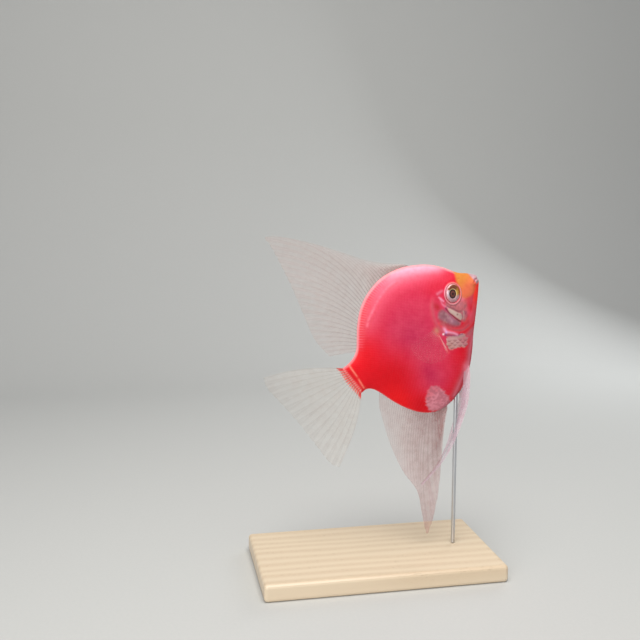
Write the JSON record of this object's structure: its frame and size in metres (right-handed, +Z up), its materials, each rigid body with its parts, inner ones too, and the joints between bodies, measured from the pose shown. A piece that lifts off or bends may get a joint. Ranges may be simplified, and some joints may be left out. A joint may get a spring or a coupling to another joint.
{
  "type": "freshwater angelfish",
  "caption": "Life-size still model of a rose-red freshwater angelfish, swimming nose-up with its clear fins spread, on a thin rod and a flat base.",
  "frame": {"origin": "middle of the stand's underside, on the floor, below the middle of the whole object", "axes": "+X the way the fish heads, +Y to its left side, +Z up; its body lies in the X-Z plane and points 39 degrees above +X"},
  "size_m": [0.084, 0.046, 0.1175],
  "materials": {
    "skin": "wet, smooth scaled skin, deep rose red with a lighter pink back, an orange snout and a silver gill cover",
    "fin": "clear, thin membrane with fine pale rays",
    "eye": "silver iris round a black pupil, under a glossy clear front",
    "base_wood": "pale ash, planed, with a satin oil finish",
    "rod_steel": "drawn stainless steel rod"
  },
  "bodies": {
    "root": {"head": "skin", "jaw": "skin", "gill_cover_left": "skin", "gill_cover_right": "skin", "trunk": "skin", "tail_stem": "skin", "dorsal_fin": "fin", "anal_fin": "fin", "tail_fin": "fin", "pelvic_fin_left": "fin", "pelvic_fin_right": "fin", "pectoral_fin_left": "fin", "pectoral_fin_right": "fin", "eye_left": "eye", "eye_right": "eye", "stand_base": "base_wood", "stand_rod": "rod_steel"}
  },
  "joints": []
}
